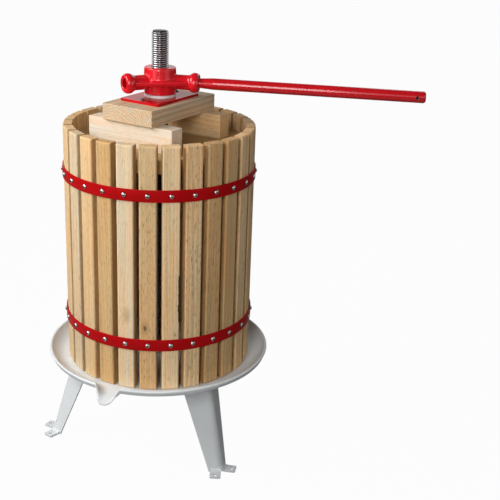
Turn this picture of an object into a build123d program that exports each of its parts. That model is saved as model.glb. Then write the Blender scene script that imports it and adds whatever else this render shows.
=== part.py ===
import os
from math import atan, cos, hypot, pi, radians, sin, sqrt, tan

from build123d import *

os.makedirs("parts", exist_ok=True)

# Basket: flat wooden staves standing in a ring, held by two steel bands
stave_count = 27
stave_width = 25.5
stave_thickness = 14.0
stave_length = 377.0
stave_edge = 2.5  # rounding of the outer face's edges
stave_outer_radius = 144.5  # axis to the middle of a stave's outer face
first_stave_angle = -84.0
band_width = 18.0
band_thickness = 2.0
lower_band_height = 74.5  # stave foot to the middle of the lower band
band_spacing = 231.5
band_clearance = 0.05
screw_head_diameter = 7.5
screw_head_height = 2.6
screw_shank_diameter = 3.4
screw_length = 11.0  # under the head
screw_hole_clearance = 0.1

# Tray: pressed sheet dish with a rolled rim and a pouring spout towards -Y
tray_floor_height = 145.0  # ground to the top of the tray floor
tray_sheet = 1.8
tray_margin = 4.0  # flat floor outside the basket
tray_depth = 13.3
tray_wall_angle = 58.0  # slope of the wall where it meets the rim
rim_roll = 3.0
rim_lip = 6.5  # straight edge below the roll
seat_gap = 0.1  # between flat faces that only rest on each other

# Spout: a tapering trough, cut off on a slant
spout_overhang = 15.5  # tip beyond the rim
spout_drop = 8.5  # tip below the tray floor
spout_mouth_radius = 20.0
spout_tip_radius = 14.0
spout_cut_angle = 52.0  # slant of the open edge below the horizontal

# Legs: folded sheet, a tapering V with its ridge outwards and two foot tabs
first_leg_angle = -30.0
leg_sheet = 2.5
leg_half_angle = 50.0  # between a face and the leg's middle plane
leg_ridge_radius = 11.0
leg_foot_reach = 178.5  # axis to the ridge at the ground
leg_top_reach = 138.5  # axis to the ridge at the tray
leg_foot_face = 22.0
leg_top_face = 46.0
foot_tab_start = 3.0  # ridge to the tab, along the face
foot_tab_width = 17.0
foot_tab_length = 18.0
foot_tab_corner = 3.0
foot_hole_diameter = 6.0
foot_hole_reach = 11.5  # face to hole
foot_bend_radius = 6.0  # between the face and the tab
foot_notch_radius = 4.5
foot_notch_height = 6.0
leg_tab_margin = 10.5  # bolts to the top tab's inner edge
leg_bolt_inset = 23.5  # ridge at the tray to the bolts, unless the basket stands there
leg_bolt_basket_gap = 3.0  # bolt heads to the staves, at the least
leg_bolt_spread = 13.0  # off the leg's middle plane
leg_bolt_diameter = 8.0
leg_bolt_head_diameter = 18.0
leg_bolt_head_height = 4.0
leg_nut_width = 13.0
leg_nut_height = 6.5
leg_bolt_tail = 4.0  # past the nut
bolt_clearance = 0.3
nut_corner_share = 0.6  # how far a nut's corners are turned off towards its flats

# Spindle and the parts that clamp it in the tray
spindle_diameter = 25.2
spindle_proud = 53.0  # above the press nut
spindle_tail = 8.0  # below the lower nut
spindle_tip_chamfer = 2.0
spindle_hole_clearance = 0.5
support_disc_diameter = 100.0
support_disc_thickness = 4.0
spindle_washer_diameter = 44.0
spindle_washer_thickness = 3.0
spindle_nut_width = 38.0
spindle_nut_height = 19.0
spindle_thin_nut_height = 12.0

# Pressing stack inside the basket
stack_angle = 79.5  # direction of the top block
board_drop = 24.0  # basket rim to the board's face
board_thickness = 20.0
board_side_clearance = 3.5
board_split_gap = 1.5
stack_hole_diameter = 30.0
lower_block_length = 152.0
lower_block_width = 25.5
lower_block_height = 36.5
lower_block_offset = 61.5  # axis to the block's middle
top_block_length = 160.0
top_block_width = 90.0
top_block_height = 24.3
block_edge = 1.2
plate_length = 103.0
plate_width = 69.0
plate_thickness = 4.0
plate_corner = 2.0
plate_hole_diameter = 27.6
plate_screw_reach = 42.0
plate_screw_diameter = 4.5
plate_screw_length = 18.0
plate_screw_head_diameter = 8.5
plate_screw_head_height = 2.6
thrust_washer_diameter = 47.5
thrust_washer_thickness = 3.8

# Press nut: cast hub with two lever sockets
thread_clearance = 0.1
hub_diameter = 46.6
collar_base_diameter = 49.0
collar_top_diameter = 46.6
collar_edge = 1.2
hub_height = 39.3
arm_height = 18.1  # hub base to the sockets' axis
arm_diameter = 22.0
arm_reach = 59.0
socket_spread = 140.0  # angle between the two sockets
flange_diameter = 30.0
flange_thickness = 13.0
flange_flare = 5.0
flange_edge = 2.6
socket_diameter = 14.6
socket_depth = 41.0
socket_mouth = 0.6
web_thickness = 7.0
web_radius = 29.0
web_arm_reach = 42.0
web_arm_margin = 1.2  # web beyond the arm's side
web_edge = 1.5

# Lever: round bar with a swaged end
lever_angle = 13.4
lever_diameter = 17.0
lever_reach = 391.0  # axis to the rounded tip
lever_spigot_clearance = 0.2
lever_neck_length = 20.0
lever_neck_start = 1.5  # outside the socket's mouth
lever_tip_radius = 4.0
lever_hole_diameter = 5.0
lever_hole_inset = 12.0

# Heights of the stack, from the ground up
basket_base = tray_floor_height + seat_gap
basket_top = basket_base + stave_length
tray_underside = tray_floor_height - tray_sheet
board_top = basket_top - board_drop
lower_block_top = board_top + lower_block_height
top_block_top = lower_block_top + top_block_height
plate_top = top_block_top + plate_thickness
washer_top = plate_top + thrust_washer_thickness
hub_base = washer_top + seat_gap
hub_top = hub_base + hub_height
arm_axis = hub_base + arm_height
spindle_top = hub_top + spindle_proud

# Plan radii that several pieces share
stave_inner_radius = stave_outer_radius - stave_thickness
stave_pitch = 360.0 / stave_count
band_inner_radius = hypot(stave_outer_radius, stave_width / 2 - stave_edge) + band_clearance
band_outer_radius = band_inner_radius + band_thickness
tray_floor_radius = stave_outer_radius + tray_margin
spindle_radius = spindle_diameter / 2
spindle_hole_radius = spindle_radius + spindle_hole_clearance
band_heights = {
    "lower": basket_base + lower_band_height,
    "upper": basket_base + lower_band_height + band_spacing,
}
stave_angles = [first_stave_angle + number * stave_pitch for number in range(stave_count)]
leg_names = ("right", "rear", "left")
leg_pitch = 360.0 / len(leg_names)
basket_room = stave_inner_radius - leg_bolt_head_diameter / 2 - leg_bolt_basket_gap
leg_bolt_reach = min(leg_top_reach - leg_bolt_inset, sqrt(basket_room**2 - leg_bolt_spread**2))
leg_angles = {name: first_leg_angle + number * leg_pitch for number, name in enumerate(leg_names)}
socket_angles = (lever_angle, lever_angle - socket_spread)


def save(piece, name):
    piece.part.label = name
    export_step(piece.part, f"parts/{name}.step")


def outward(angle):
    return Vector(cos(radians(angle)), sin(radians(angle)), 0)


def level_plane(angle, height):
    """Horizontal plane on the axis, its x towards the angle."""
    return Plane(origin=(0, 0, height), x_dir=outward(angle))


def upright_plane(angle, height):
    """Plane that holds the axis, its x towards the angle and its y upwards."""
    return Plane(origin=(0, 0, height), x_dir=outward(angle), z_dir=outward(angle - 90))


def facing_plane(angle, radius, height):
    """Plane square to the angle, at a radius, its z outwards and its y upwards."""
    origin = outward(angle) * radius + Vector(0, 0, height)
    return Plane(origin=origin, x_dir=outward(angle + 90), z_dir=outward(angle))


def dome_screw(seat, head_diameter, head_height, shank_diameter, length):
    """Screw in the part being built: domed head on the seat plane, shank below it."""
    dome_radius = (head_height**2 + (head_diameter / 2) ** 2) / (2 * head_height)
    with BuildSketch(Plane(origin=seat.origin, x_dir=seat.x_dir, z_dir=seat.y_dir * -1)) as section:
        with BuildLine():
            side = Polyline(
                (0, -length),
                (shank_diameter / 2, -length),
                (shank_diameter / 2, 0),
                (head_diameter / 2, 0),
            )
            dome = RadiusArc(side @ 1, (0, head_height), -dome_radius)
            Line(dome @ 1, side @ 0)
        make_face()
    revolve(section.sketch, axis=Axis(seat.origin, seat.z_dir))


def hex_nut(name, width, height, bore_radius, base, centres):
    """Hexagon nuts with their lower faces at one height and their corners turned off."""
    corner_radius = width / sqrt(3)
    with BuildPart() as blanks:
        with BuildSketch(Plane.XY.offset(base)):
            with Locations(*centres):
                Circle(corner_radius)
        extrude(amount=height)
        chamfer(blanks.edges().filter_by(GeomType.CIRCLE), (corner_radius - width / 2) * nut_corner_share)
    with BuildPart() as nuts:
        with BuildSketch(Plane.XY.offset(base)):
            with Locations(*centres):
                RegularPolygon(width / 2, 6, major_radius=False)
                Circle(bore_radius, mode=Mode.SUBTRACT)
        extrude(amount=height)
        add(blanks.part, mode=Mode.INTERSECT)
    save(nuts, name)


def flat_ring(name, outer_diameter, bore_radius, base, thickness):
    """Washer or disc round the spindle."""
    with BuildPart() as ring:
        with BuildSketch(Plane.XY.offset(base)):
            Circle(outer_diameter / 2)
            Circle(bore_radius, mode=Mode.SUBTRACT)
        extrude(amount=thickness)
    save(ring, name)


# Staves, each with a pilot hole behind each band
def make_stave(angle):
    with BuildPart(level_plane(angle, basket_base)) as stave:
        with Locations((stave_inner_radius, 0, 0)):
            Box(
                stave_thickness,
                stave_width,
                stave_length,
                align=(Align.MIN, Align.CENTER, Align.MIN),
            )
        outer_face = stave.faces().sort_by(Axis((0, 0, 0), outward(angle)))[-1]
        fillet(outer_face.edges(), stave_edge)
        for height in band_heights.values():
            with BuildSketch(facing_plane(angle, band_outer_radius, height)):
                Circle(screw_shank_diameter / 2 + screw_hole_clearance)
            extrude(amount=-screw_length - screw_hole_clearance, mode=Mode.SUBTRACT)
    return stave


for number, angle in enumerate(stave_angles, start=1):
    save(make_stave(angle), f"stave_{number:02d}")


# Bands, each with one screw per stave
def make_band(height):
    with BuildPart() as band:
        with BuildSketch(Plane.XY.offset(height - band_width / 2)):
            Circle(band_outer_radius)
            Circle(band_inner_radius, mode=Mode.SUBTRACT)
        extrude(amount=band_width)
        for angle in stave_angles:
            with BuildSketch(facing_plane(angle, stave_outer_radius, height)):
                Circle(screw_shank_diameter / 2 + screw_hole_clearance)
            extrude(amount=band_width, mode=Mode.SUBTRACT)
    return band


def make_band_screws(height):
    with BuildPart() as screws:
        for angle in stave_angles:
            seat = facing_plane(angle, band_outer_radius, height)
            dome_screw(seat, screw_head_diameter, screw_head_height, screw_shank_diameter, screw_length)
    return screws


for level, height in band_heights.items():
    save(make_band(height), f"{level}_band")
    save(make_band_screws(height), f"{level}_band_screws")


# Tray: the sheet's section is floor, hollow wall, rolled rim and lip
rim_top = tray_floor_height + tray_depth
wall_turn = radians(tray_wall_angle)
wall_radius = (tray_depth - rim_roll * (1 - cos(wall_turn))) / (1 - cos(wall_turn))
tray_rim_radius = tray_floor_radius + (wall_radius + rim_roll) * sin(wall_turn) + rim_roll
spout_reach = tray_rim_radius + spout_overhang
tip_height = tray_floor_height - spout_drop
bolt_points = [
    outward(angle) * leg_bolt_reach + outward(angle + 90) * side * leg_bolt_spread
    for angle in leg_angles.values()
    for side in (-1, 1)
]
leg_bolt_hole_radius = leg_bolt_diameter / 2 + bolt_clearance


def sheet_line(depth, start_radius):
    """One face of the sheet, at a depth below its upper face."""
    floor = Line((start_radius, -depth), (tray_floor_radius, -depth))
    wall = JernArc(floor @ 1, floor % 1, wall_radius + depth, tray_wall_angle)
    roll = JernArc(wall @ 1, wall % 1, rim_roll - depth, -(tray_wall_angle + 90))
    lip = PolarLine(roll @ 1, rim_lip, direction=roll % 1)
    return floor @ 0, lip @ 1


def spout_cone(wall):
    """Tapering trough in the part being built, its floor running from the basket's foot to the tip."""
    fall = spout_drop / (spout_reach - stave_outer_radius)
    taper = (spout_mouth_radius - spout_tip_radius) / spout_overhang
    rings = []
    for reach in (stave_inner_radius, spout_reach + 2 * tray_sheet):
        radius = spout_tip_radius + (spout_reach - reach) * taper
        bottom = tip_height + (spout_reach - reach) * fall
        with BuildSketch(facing_plane(-90, reach, bottom + radius)) as ring:
            Circle(radius + wall)
        rings.append(ring.sketch.face())
    loft(rings)


with BuildPart() as dish_space:
    with BuildSketch(upright_plane(0, tray_floor_height)):
        with BuildLine():
            floor = Line((0, 0), (tray_floor_radius, 0))
            wall = JernArc(floor @ 1, floor % 1, wall_radius, tray_wall_angle)
            brim = PolarLine(wall @ 1, tray_depth * 3, direction=(0, 1))
            Polyline(brim @ 1, (0, (brim @ 1).Y), floor @ 0)
        make_face()
    revolve(axis=Axis.Z)

with BuildPart() as spout_channel:
    spout_cone(0)

with BuildPart() as spout:
    spout_cone(tray_sheet)
    slant = radians(spout_cut_angle)
    cut_plane = Plane(origin=(0, -spout_reach, tip_height), z_dir=(0, -sin(slant), cos(slant)))
    split(bisect_by=cut_plane, keep=Keep.BOTTOM)
    split(bisect_by=Plane.XY.offset(rim_top), keep=Keep.BOTTOM)
    add(dish_space.part, mode=Mode.SUBTRACT)

with BuildPart() as tray:
    with BuildSketch(upright_plane(0, tray_floor_height)):
        with BuildLine():
            upper_start, upper_end = sheet_line(0, spindle_hole_radius)
            lower_start, lower_end = sheet_line(tray_sheet, spindle_hole_radius)
            Line(upper_start, lower_start)
            Line(upper_end, lower_end)
        make_face()
    revolve(axis=Axis.Z)
    add(spout.part)
    add(spout_channel.part, mode=Mode.SUBTRACT)
    with BuildSketch(Plane.XY.offset(tray_floor_height)):
        with Locations(*bolt_points):
            Circle(leg_bolt_hole_radius)
    extrude(amount=-tray_sheet, mode=Mode.SUBTRACT)
save(tray, "tray")


# Legs
face_turn = radians(leg_half_angle)
ridge_setback = leg_ridge_radius * (1 / sin(face_turn) - 1)
face_slope = (leg_foot_reach - leg_top_reach) * sin(face_turn) / tray_underside
face_lean = atan(face_slope)
foot_bend_run = foot_bend_radius / tan((pi / 2 + face_lean) / 2)
foot_bend_root = leg_sheet - seat_gap  # stays inside the sheet


def leg_section(plane, ridge, face):
    """V of sheet in plan, its rounded ridge outwards."""
    inset = leg_sheet / sin(face_turn)
    run, spread = face * cos(face_turn), face * sin(face_turn)
    step_in, step_side = leg_sheet * sin(face_turn), leg_sheet * cos(face_turn)
    with BuildSketch(plane) as section:
        with BuildLine():
            Polyline(
                (ridge, 0),
                (ridge - run, spread),
                (ridge - run - step_in, spread - step_side),
                (ridge - inset, 0),
                (ridge - run - step_in, step_side - spread),
                (ridge - run, -spread),
                close=True,
            )
        make_face()
        fillet(section.vertices().sort_by(Axis.X)[-1], leg_ridge_radius)
        inner = section.vertices().sort_by_distance((ridge - inset, 0))[0]
        fillet(inner, leg_ridge_radius - leg_sheet)
    return section.sketch.face()


def make_leg(angle):
    top = level_plane(angle, tray_underside)
    foot = level_plane(angle, 0)
    with BuildPart() as leg:
        foot_end = leg_section(foot, leg_foot_reach, leg_foot_face)
        top_end = leg_section(top, leg_top_reach, leg_top_face)
        loft([foot_end, top_end], ruled=True)
        with BuildSketch(foot):
            with Locations((leg_foot_reach - ridge_setback, 0)):
                Circle(foot_notch_radius)
        extrude(amount=foot_notch_height, mode=Mode.SUBTRACT)
        for side in (-1, 1):
            along = outward(angle + 180 - side * leg_half_angle)
            face = Plane(origin=outward(angle) * leg_foot_reach, x_dir=along)
            middle = foot_tab_start + foot_tab_width / 2
            with BuildSketch(face) as tab:
                with Locations((middle, side * leg_sheet)):
                    Rectangle(
                        foot_tab_width,
                        foot_tab_length + leg_sheet,
                        align=(Align.CENTER, Align.MAX if side > 0 else Align.MIN),
                    )
                ends = tab.vertices().group_by(Axis.Y)[0 if side > 0 else -1]
                fillet(ends, foot_tab_corner)
                with Locations((middle, -side * foot_hole_reach)):
                    Circle(foot_hole_diameter / 2, mode=Mode.SUBTRACT)
            extrude(amount=leg_sheet)
            bend = Plane(
                origin=face.origin + along * middle + Vector(0, 0, leg_sheet),
                x_dir=outward(angle + side * (90 - leg_half_angle)),
                z_dir=along * -side,
            )
            with BuildSketch(bend):
                corner = -leg_sheet * face_slope
                bend_top = (corner - foot_bend_run * sin(face_lean), foot_bend_run * cos(face_lean))
                with BuildLine():
                    arc = TangentArc((corner + foot_bend_run, 0), bend_top, tangent=(-1, 0))
                    Polyline(
                        arc @ 1,
                        (bend_top[0] - foot_bend_root, bend_top[1]),
                        (corner - foot_bend_root, -leg_sheet / 2),
                        (corner + foot_bend_run, -leg_sheet / 2),
                        arc @ 0,
                    )
                make_face()
            extrude(amount=foot_tab_width / 2, both=True)
        with BuildSketch(top):
            inner, outer = leg_bolt_reach - leg_tab_margin, leg_top_reach - 2 * leg_sheet
            with BuildLine():
                Polyline(
                    (inner, (leg_top_reach - inner) * tan(face_turn)),
                    (outer, (leg_top_reach - outer) * tan(face_turn)),
                    (outer, (outer - leg_top_reach) * tan(face_turn)),
                    (inner, (inner - leg_top_reach) * tan(face_turn)),
                    close=True,
                )
            make_face()
            with Locations((leg_bolt_reach, leg_bolt_spread), (leg_bolt_reach, -leg_bolt_spread)):
                Circle(leg_bolt_hole_radius, mode=Mode.SUBTRACT)
        extrude(amount=-leg_sheet)
    return leg


for side, angle in leg_angles.items():
    save(make_leg(angle), f"leg_{side}")

leg_nut_base = tray_underside - leg_sheet - leg_nut_height
with BuildPart() as leg_bolts:
    for point in bolt_points:
        seat = Plane(origin=point + Vector(0, 0, tray_floor_height))
        shank = tray_floor_height - leg_nut_base + leg_bolt_tail
        dome_screw(seat, leg_bolt_head_diameter, leg_bolt_head_height, leg_bolt_diameter, shank)
save(leg_bolts, "leg_bolts")
nut_bore = leg_bolt_diameter / 2 + screw_hole_clearance
hex_nut("leg_nuts", leg_nut_width, leg_nut_height, nut_bore, leg_nut_base, bolt_points)

# Spindle, clamped through the tray between two nuts
disc_base = tray_underside - support_disc_thickness
lower_washer_base = disc_base - spindle_washer_thickness
lower_nut_base = lower_washer_base - spindle_nut_height
upper_nut_base = tray_floor_height + spindle_washer_thickness
spindle_base = lower_nut_base - spindle_tail
spindle_nut_bore = spindle_radius + screw_hole_clearance
flat_ring("support_disc", support_disc_diameter, spindle_hole_radius, disc_base, support_disc_thickness)
for level, base in (("lower", lower_washer_base), ("upper", tray_floor_height)):
    flat_ring(
        f"spindle_washer_{level}",
        spindle_washer_diameter,
        spindle_hole_radius,
        base,
        spindle_washer_thickness,
    )
axis_point = [(0, 0)]
spindle_nuts = {
    "lower": (spindle_nut_height, lower_nut_base),
    "upper": (spindle_thin_nut_height, upper_nut_base),
}
for level, (height, base) in spindle_nuts.items():
    hex_nut(f"spindle_nut_{level}", spindle_nut_width, height, spindle_nut_bore, base, axis_point)

with BuildPart() as spindle:
    with BuildSketch(Plane.XY.offset(spindle_base)):
        Circle(spindle_radius)
    extrude(amount=spindle_top - spindle_base)
    chamfer(spindle.edges().filter_by(GeomType.CIRCLE), spindle_tip_chamfer)
save(spindle, "spindle")

# Pressing stack: split board, two lower blocks across it, top block, plate and washer
stack_hole_radius = stack_hole_diameter / 2
board_radius = stave_inner_radius - board_side_clearance


def make_board_half(side):
    with BuildPart() as board:
        with BuildSketch(level_plane(stack_angle, board_top - board_thickness)):
            Circle(board_radius)
            Circle(stack_hole_radius, mode=Mode.SUBTRACT)
            with Locations((0, side * (board_radius + board_split_gap / 2))):
                Rectangle(2 * board_radius, 2 * board_radius, mode=Mode.INTERSECT)
        extrude(amount=board_thickness)
    return board


def make_lower_block(side):
    with BuildPart(level_plane(stack_angle, board_top)) as block:
        with Locations((side * lower_block_offset, 0, 0)):
            Box(
                lower_block_width,
                lower_block_length,
                lower_block_height,
                align=(Align.CENTER, Align.CENTER, Align.MIN),
            )
        fillet(block.edges(), block_edge)
    return block


for name, side in (("left", 1), ("right", -1)):
    save(make_board_half(side), f"press_board_{name}")
for name, side in (("front", -1), ("rear", 1)):
    save(make_lower_block(side), f"lower_block_{name}")

plate_screw_points = [outward(stack_angle) * side * plate_screw_reach for side in (-1, 1)]
plate_screw_hole_radius = plate_screw_diameter / 2 + screw_hole_clearance

with BuildPart(level_plane(stack_angle, lower_block_top)) as top_block:
    Box(
        top_block_length,
        top_block_width,
        top_block_height,
        align=(Align.CENTER, Align.CENTER, Align.MIN),
    )
    fillet(top_block.edges(), block_edge)
    with BuildSketch(Plane.XY.offset(lower_block_top)):
        Circle(stack_hole_radius)
    extrude(amount=top_block_height, mode=Mode.SUBTRACT)
    with BuildSketch(Plane.XY.offset(plate_top)):
        with Locations(*plate_screw_points):
            Circle(plate_screw_hole_radius)
    extrude(amount=-plate_screw_length - screw_hole_clearance, mode=Mode.SUBTRACT)
save(top_block, "top_block")

with BuildPart() as pressure_plate:
    with BuildSketch(level_plane(stack_angle, top_block_top)):
        RectangleRounded(plate_length, plate_width, plate_corner)
        Circle(plate_hole_diameter / 2, mode=Mode.SUBTRACT)
        with Locations((plate_screw_reach, 0), (-plate_screw_reach, 0)):
            Circle(plate_screw_hole_radius, mode=Mode.SUBTRACT)
    extrude(amount=plate_thickness)
save(pressure_plate, "pressure_plate")

with BuildPart() as plate_screws:
    for point in plate_screw_points:
        dome_screw(
            Plane(origin=point + Vector(0, 0, plate_top)),
            plate_screw_head_diameter,
            plate_screw_head_height,
            plate_screw_diameter,
            plate_screw_length,
        )
save(plate_screws, "plate_screws")
thrust_washer_bore = plate_hole_diameter / 2
flat_ring("thrust_washer", thrust_washer_diameter, thrust_washer_bore, plate_top, thrust_washer_thickness)

# Press nut
nut_bore_radius = spindle_radius + thread_clearance
arm_radius = arm_diameter / 2
flange_radius = flange_diameter / 2
arm_start = nut_bore_radius + socket_mouth


def add_arm(angle):
    """Round arm that flares into a rounded flange, in the part being built."""
    with BuildSketch(upright_plane(angle, arm_axis)) as section:
        with BuildLine():
            flare_end = arm_reach - flange_thickness
            side = Polyline((arm_start, 0), (arm_start, arm_radius), (flare_end - flange_flare, arm_radius))
            flare = TangentArc(side @ 1, (flare_end, flange_radius - flange_edge), tangent=side % 1)
            crown = ThreePointArc(
                flare @ 1,
                (flare_end + flange_thickness / 2, flange_radius),
                (arm_reach, flange_radius - flange_edge),
            )
            Polyline(crown @ 1, (arm_reach, 0), (arm_start, 0))
        make_face()
    revolve(section.sketch, axis=Axis((0, 0, arm_axis), outward(angle)))


with BuildPart() as web:
    for angle in socket_angles:
        with BuildSketch(level_plane(angle, arm_axis - web_thickness / 2)):
            Circle(web_radius)
            with Locations((web_arm_reach, 0)):
                Circle(arm_radius + web_arm_margin)
            make_hull()
        extrude(amount=web_thickness)
    fillet(web.faces().filter_by(Axis.Z).edges(), web_edge)

with BuildPart() as press_nut:
    with BuildSketch(upright_plane(0, hub_base)) as hub_section:
        with BuildLine():
            Polyline(
                (0, 0),
                (hub_diameter / 2, 0),
                (hub_diameter / 2, arm_height - web_thickness / 2),
                (collar_base_diameter / 2, arm_height),
                (collar_top_diameter / 2, hub_height),
                (0, hub_height),
                close=True,
            )
        make_face()
        collar_corner = hub_section.vertices().sort_by_distance((collar_top_diameter / 2, hub_height))[0]
        fillet(collar_corner, collar_edge)
    revolve(axis=Axis.Z)
    add(web.part)
    for angle in socket_angles:
        add_arm(angle)
    for angle in socket_angles:
        socket = facing_plane(angle, arm_reach, arm_axis)
        with BuildSketch(socket):
            Circle(socket_diameter / 2)
        extrude(amount=-socket_depth, mode=Mode.SUBTRACT)
        with BuildSketch(socket):
            Circle(socket_diameter / 2 + socket_mouth)
        extrude(amount=-socket_mouth, taper=45, mode=Mode.SUBTRACT)
    with BuildSketch(Plane.XY.offset(hub_base)):
        Circle(nut_bore_radius)
    extrude(amount=hub_height, mode=Mode.SUBTRACT)
save(press_nut, "press_nut")

# Lever
spigot_radius = socket_diameter / 2 - lever_spigot_clearance
lever_radius = lever_diameter / 2
with BuildPart() as lever:
    with BuildSketch(upright_plane(lever_angle, arm_axis)):
        neck = arm_reach + lever_neck_start
        with BuildLine():
            side = Polyline(
                (arm_reach - socket_depth + lever_neck_start, 0),
                (arm_reach - socket_depth + lever_neck_start, spigot_radius),
                (neck, spigot_radius),
                (neck + lever_neck_length, lever_radius),
                (lever_reach - lever_tip_radius, lever_radius),
            )
            tip = RadiusArc(side @ 1, (lever_reach, lever_radius - lever_tip_radius), lever_tip_radius)
            Polyline(tip @ 1, (lever_reach, 0), side @ 0)
        make_face()
    revolve(axis=Axis((0, 0, arm_axis), outward(lever_angle)))
    with BuildSketch(upright_plane(lever_angle, arm_axis)):
        with Locations((lever_reach - lever_hole_inset, 0)):
            Circle(lever_hole_diameter / 2)
    extrude(amount=lever_radius, both=True, mode=Mode.SUBTRACT)
save(lever, "lever")
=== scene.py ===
import math
import random

import bmesh
import bpy
from mathutils import Matrix, Vector


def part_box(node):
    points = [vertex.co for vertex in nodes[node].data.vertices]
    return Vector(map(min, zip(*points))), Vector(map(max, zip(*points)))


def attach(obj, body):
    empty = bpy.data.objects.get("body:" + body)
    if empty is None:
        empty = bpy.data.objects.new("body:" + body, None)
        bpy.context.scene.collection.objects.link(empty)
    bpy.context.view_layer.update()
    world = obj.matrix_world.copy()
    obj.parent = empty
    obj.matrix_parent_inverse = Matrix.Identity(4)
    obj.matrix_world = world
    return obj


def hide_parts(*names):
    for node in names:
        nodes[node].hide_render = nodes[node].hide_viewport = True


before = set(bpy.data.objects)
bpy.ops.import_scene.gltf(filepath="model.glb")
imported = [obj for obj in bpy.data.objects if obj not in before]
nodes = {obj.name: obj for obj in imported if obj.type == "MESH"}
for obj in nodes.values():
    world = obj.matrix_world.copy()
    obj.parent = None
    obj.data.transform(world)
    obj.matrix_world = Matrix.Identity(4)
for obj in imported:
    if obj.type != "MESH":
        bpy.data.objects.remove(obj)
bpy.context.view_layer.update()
scene = bpy.context.scene
scene.view_settings.view_transform = "Standard"
print("frame loaded:", len(nodes), "nodes")


# camera, lamps and floor come first, so that a half-made press can be looked at
lookFrom = {
    "distance": 1.4924,  # metres from the spindle's axis, along the ground
    "height": 0.8857,
    "bearing": 26.068,  # degrees round from the spout's side
    "yaw": 5.493,  # turned to the right of the axis
    "pitch": 20.799,
    "roll": 2.145,
    "lens": 72.479,
    "sensor": 36.0,
}


def around(bearing, reach, height=0.0):  # a point round the spindle, from the spout's side
    turn = math.radians(bearing)
    return Vector((math.sin(turn) * reach, -math.cos(turn) * reach, height))


def placeCamera(look):
    optics = bpy.data.cameras.new("pressCamera")
    optics.lens = look["lens"]
    optics.sensor_width = look["sensor"]
    camera = bpy.data.objects.new("pressCamera", optics)
    scene.collection.objects.link(camera)
    turn = Matrix.Rotation(math.radians(look["bearing"] - look["yaw"]), 4, "Z")
    tilt = Matrix.Rotation(math.radians(90 - look["pitch"]), 4, "X")
    roll = Matrix.Rotation(math.radians(look["roll"]), 4, "Z")
    spot = Matrix.Translation(around(look["bearing"], look["distance"], look["height"]))
    camera.matrix_world = spot @ turn @ tilt @ roll
    scene.camera = camera


placeCamera(lookFrom)

studio = {
    "aim": (0.0, 0.0, 0.34),
    "lamps": {
        # bearing, slope upwards, distance, width, height, power
        "keySoftbox": (-54.0, 38.0, 1.50, 1.10, 0.72, 21.0),
        "frontSoftbox": (13.5, 25.0, 1.385, 0.40, 0.75, 7.2),
        "tallSoftbox": (-14.0, 13.0, 1.30, 0.60, 0.60, 1.9),
        "sideSoftbox": (78.0, 17.0, 1.50, 0.80, 0.85, 2.1),
        "rearSoftbox": (162.0, 38.0, 1.60, 0.90, 0.65, 2.8),
    },
    "ambient": 0.07,
    "floorColour": (0.28, 0.28, 0.276, 1.0),
    "surroundGlow": 0.975,  # how much of the floor and backdrop the camera sees as plain white
    "surroundReach": 8.0,
    "surroundSides": 72,
    "floorLevel": -0.0005,
    "backdropHeight": 4.4,
    "mirroredFrom": (0.0, 0.5),  # heights between which a gloss begins to show the backdrop as white
}


def lightStudio(plan):
    aim = Vector(plan["aim"])
    for name, (bearing, slope, distance, width, height, power) in plan["lamps"].items():
        lamp = bpy.data.lights.new(name, "AREA")
        lamp.shape = "RECTANGLE"
        lamp.size = width
        lamp.size_y = height
        lamp.energy = power
        holder = bpy.data.objects.new(name, lamp)
        rise = math.radians(slope)
        spot = aim + around(bearing, distance * math.cos(rise), distance * math.sin(rise))
        holder.location = spot
        holder.rotation_euler = (aim - spot).to_track_quat("-Z", "Y").to_euler()
        scene.collection.objects.link(holder)


lightStudio(studio)


def plug(tree, socket, value):  # a link where the value is a socket, otherwise a plain setting
    if isinstance(value, bpy.types.NodeSocket):
        tree.links.new(value, socket)
    else:
        socket.default_value = value


def addNode(tree, kind, inputs=None, **settings):
    node = tree.nodes.new(kind)
    for key, value in settings.items():
        setattr(node, key, value)
    for key, value in (inputs or {}).items():
        plug(tree, node.inputs[key], value)
    return node


def mathOf(tree, operation, first, second=0.0, third=0.0, clamp=False):
    values = {0: first, 1: second, 2: third}
    return addNode(tree, "ShaderNodeMath", values, operation=operation, use_clamp=clamp).outputs[0]


def vectorOf(tree, operation, first, second=(0.0, 0.0, 0.0)):
    node = addNode(tree, "ShaderNodeVectorMath", {0: first, 1: second}, operation=operation)
    return node.outputs["Value" if operation == "LENGTH" else "Vector"]


def partsOf(tree, vector):
    return list(addNode(tree, "ShaderNodeSeparateXYZ", {0: vector}).outputs)


def joinOf(tree, *parts):
    return addNode(tree, "ShaderNodeCombineXYZ", dict(enumerate(parts))).outputs[0]


def mixColour(tree, factor, first, second, blend="MIX"):
    node = tree.nodes.new("ShaderNodeMix")
    node.data_type = "RGBA"
    node.blend_type = blend
    sockets = [socket for socket in node.inputs if socket.enabled]
    for socket, value in zip(sockets, (factor, first, second)):
        plug(tree, socket, value)
    return next(socket for socket in node.outputs if socket.enabled)


def rangeOf(tree, value, low, high, outLow=0.0, outHigh=1.0):
    return addNode(
        tree,
        "ShaderNodeMapRange",
        {"Value": value, "From Min": low, "From Max": high, "To Min": outLow, "To Max": outHigh},
        interpolation_type="SMOOTHSTEP",
    ).outputs["Result"]


def noiseOf(tree, vector, scale, detail=2.0, roughness=0.5):
    return addNode(
        tree,
        "ShaderNodeTexNoise",
        {"Vector": vector, "Scale": scale, "Detail": detail, "Roughness": roughness},
    )


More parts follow.
